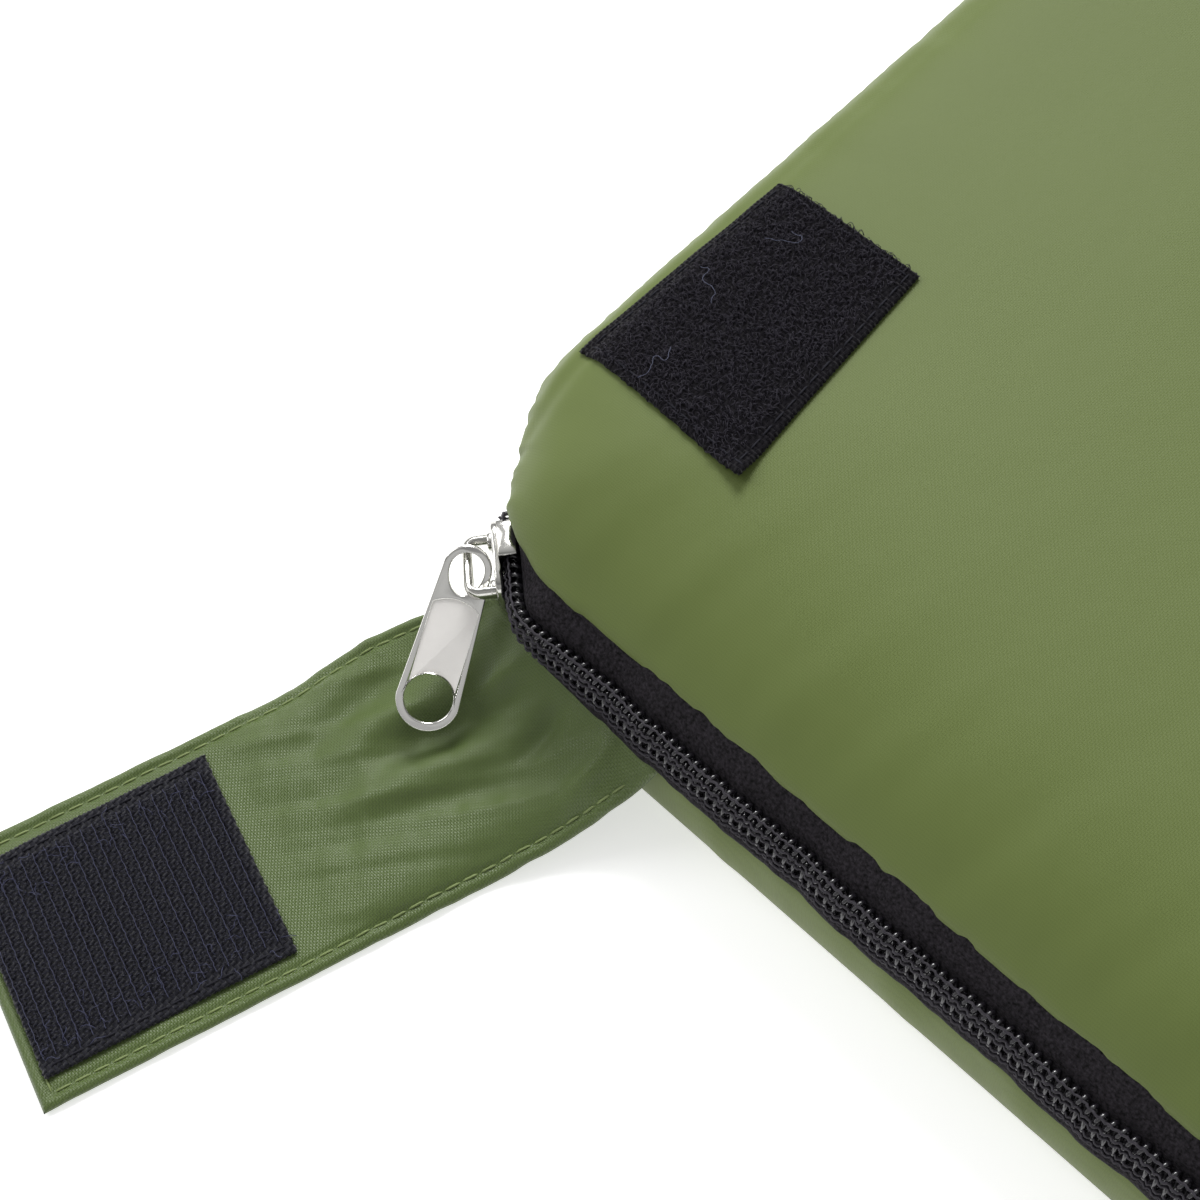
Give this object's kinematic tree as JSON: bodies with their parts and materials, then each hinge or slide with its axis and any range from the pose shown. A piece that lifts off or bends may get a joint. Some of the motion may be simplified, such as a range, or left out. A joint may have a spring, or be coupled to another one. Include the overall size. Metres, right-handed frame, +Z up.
{
  "type": "bivy sack",
  "caption": "Padded envelope bivy sack with an L-shaped coil zip, a die-cast slider and pull, and a hook-and-loop closure tab at the mouth corner.",
  "frame": {"origin": "centre of the flat underside of the lower quilt", "axes": "+X across the sack from the zip side to the folded spine, +Y along the sack towards the mouth, +Z up"},
  "size_m": [0.8412, 1.9231, 0.0454],
  "materials": {
    "shell_cloth": "woven polyester, soft sheen",
    "lining_cloth": "woven polyester, matt",
    "wadding": "fluffy fibre",
    "green_thread": "twisted thread",
    "zip_tape": "knitted tape",
    "zip_coil": "nylon coil",
    "slider_metal": "nickel plated",
    "pull_metal": "nickel plated, matt centre panel",
    "tab_cloth": "woven polyester, soft sheen",
    "hook_tape": "woven hook tape",
    "loop_tape": "brushed loop tape",
    "black_thread": "twisted thread"
  },
  "bodies": {
    "lower_quilt": {"bottom_shell": "shell_cloth", "bottom_fill": "wadding", "bottom_lining": "lining_cloth", "bottom_quilting": "green_thread", "spine_fold": "shell_cloth", "lower_zip_tape": "zip_tape", "lower_coil": "zip_coil", "zip_end_stop": "slider_metal", "tab_root": "tab_cloth"},
    "upper_quilt": {"top_shell": "shell_cloth", "top_fill": "wadding", "top_lining": "lining_cloth", "top_quilting": "green_thread", "upper_zip_tape": "zip_tape", "upper_coil": "zip_coil", "loop_patch": "loop_tape", "loop_stitching": "black_thread"},
    "slider": {"slider_body": "slider_metal", "slider_bail": "slider_metal"},
    "pull": {"pull_tab": "pull_metal"},
    "tab_end": {"tab_back": "tab_cloth", "tab_face": "tab_cloth", "tab_topstitch": "green_thread", "hook_patch": "hook_tape", "hook_stitching": "black_thread"}
  },
  "joints": [
    {"name": "upper_quilt_open", "type": "hinge", "parent": "lower_quilt", "child": "upper_quilt", "pos_m": [0.375, 0, 0.0226], "axis": [0, 1, 0], "range_deg": [0, 179], "deforming": ["spine_fold", "upper_zip_tape", "upper_coil"]},
    {"name": "slider_travel", "type": "slide", "parent": "lower_quilt", "child": "slider", "axis": [-0.0035, -1, 0], "range_m": [0, 1.83], "deforming": ["lower_zip_tape", "lower_coil"]},
    {"name": "pull_swing", "type": "hinge", "parent": "slider", "child": "pull", "pos_m": [-0.37388, 0.93976, 0.022], "axis": [0.6428, 0.766, 0], "range_deg": [0, 100]},
    {"name": "tab_fold", "type": "hinge", "parent": "lower_quilt", "child": "tab_end", "pos_m": [-0.3837, 0.93715, 0.0249], "axis": [0.141, 0.99, 0], "range_deg": [0, 179], "deforming": ["tab_root"]}
  ]
}
